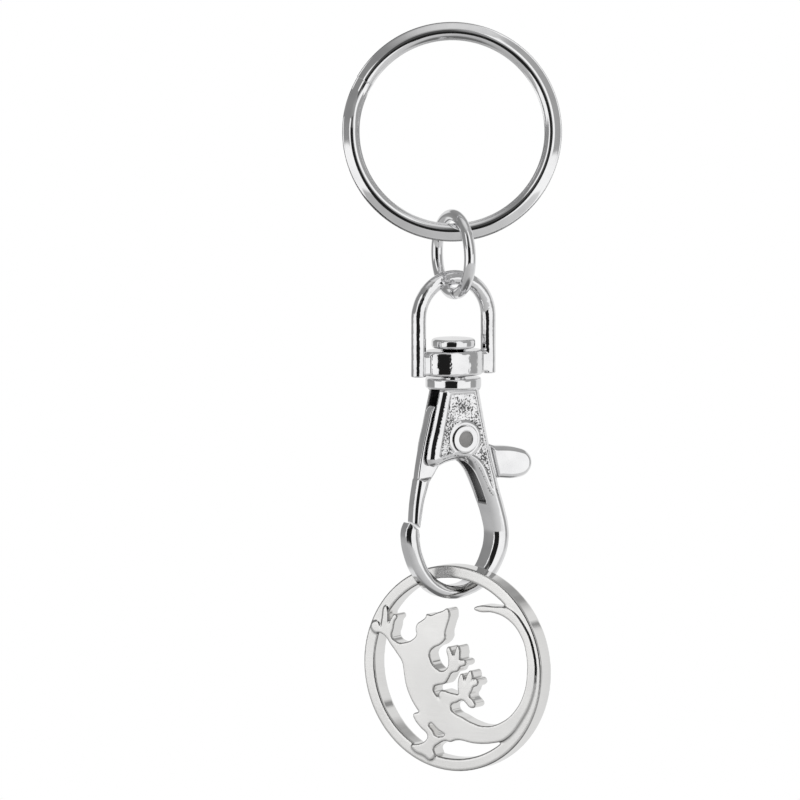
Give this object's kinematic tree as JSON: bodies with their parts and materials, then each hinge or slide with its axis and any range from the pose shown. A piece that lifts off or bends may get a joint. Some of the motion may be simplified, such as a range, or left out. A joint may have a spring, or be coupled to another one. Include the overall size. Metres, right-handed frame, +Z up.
{
  "type": "trolley coin keyring",
  "caption": "Openwork trolley coin with a gecko figure, hanging from a sprung swivel clasp, a jump ring and a key split ring.",
  "frame": {"origin": "the hang point: the inner top of the split ring, where a hook or a finger holds it", "axes": "+Z up along the hanging chain, -Y towards the viewer of the picture, +X to the viewer's right"},
  "size_m": [0.0246, 0.0138, 0.0839],
  "materials": {
    "ring_steel": "polished",
    "link_chrome": "polished",
    "clasp_nickel": "polished",
    "spring_steel": "satin",
    "coin_nickel": "satin"
  },
  "bodies": {
    "split_ring": {"split_ring": "ring_steel"},
    "jump_ring": {"jump_ring": "link_chrome"},
    "shackle": {"swivel_shackle": "link_chrome"},
    "clasp": {"clasp_body": "clasp_nickel", "swivel_rivet": "link_chrome", "pivot_pin": "clasp_nickel", "gate_spring": "spring_steel"},
    "gate": {"gate_lever": "clasp_nickel"},
    "coin": {"trolley_coin": "coin_nickel"}
  },
  "joints": [
    {"name": "jump_ring_swing", "type": "hinge", "parent": "split_ring", "child": "jump_ring", "pos_m": [0.00015, -0.00414, -0.02128], "axis": [1, 0, 0], "range_deg": [-90, 90]},
    {"name": "shackle_swing", "type": "hinge", "parent": "jump_ring", "child": "shackle", "pos_m": [0.00015, -0.00414, -0.02811], "axis": [0.4067, -0.9135, 0], "range_deg": [-80, 80]},
    {"name": "clasp_swivel", "type": "hinge", "parent": "shackle", "child": "clasp", "pos_m": [0.00015, -0.00414, -0.03874], "axis": [0, 0, 1], "continuous": true},
    {"name": "gate_swing", "type": "hinge", "parent": "clasp", "child": "gate", "pos_m": [0.00054, -0.00391, -0.04439], "axis": [0.5, -0.866, 0], "range_deg": [0, 28], "stiffness_Nm_per_rad": 0.01, "springref_deg": -20.05, "deforming": ["gate_spring"]},
    {"name": "coin_swing", "type": "hinge", "parent": "clasp", "child": "coin", "pos_m": [0.00015, -0.00414, -0.06322], "axis": [0.866, 0.5, 0], "range_deg": [-40, 40]}
  ]
}
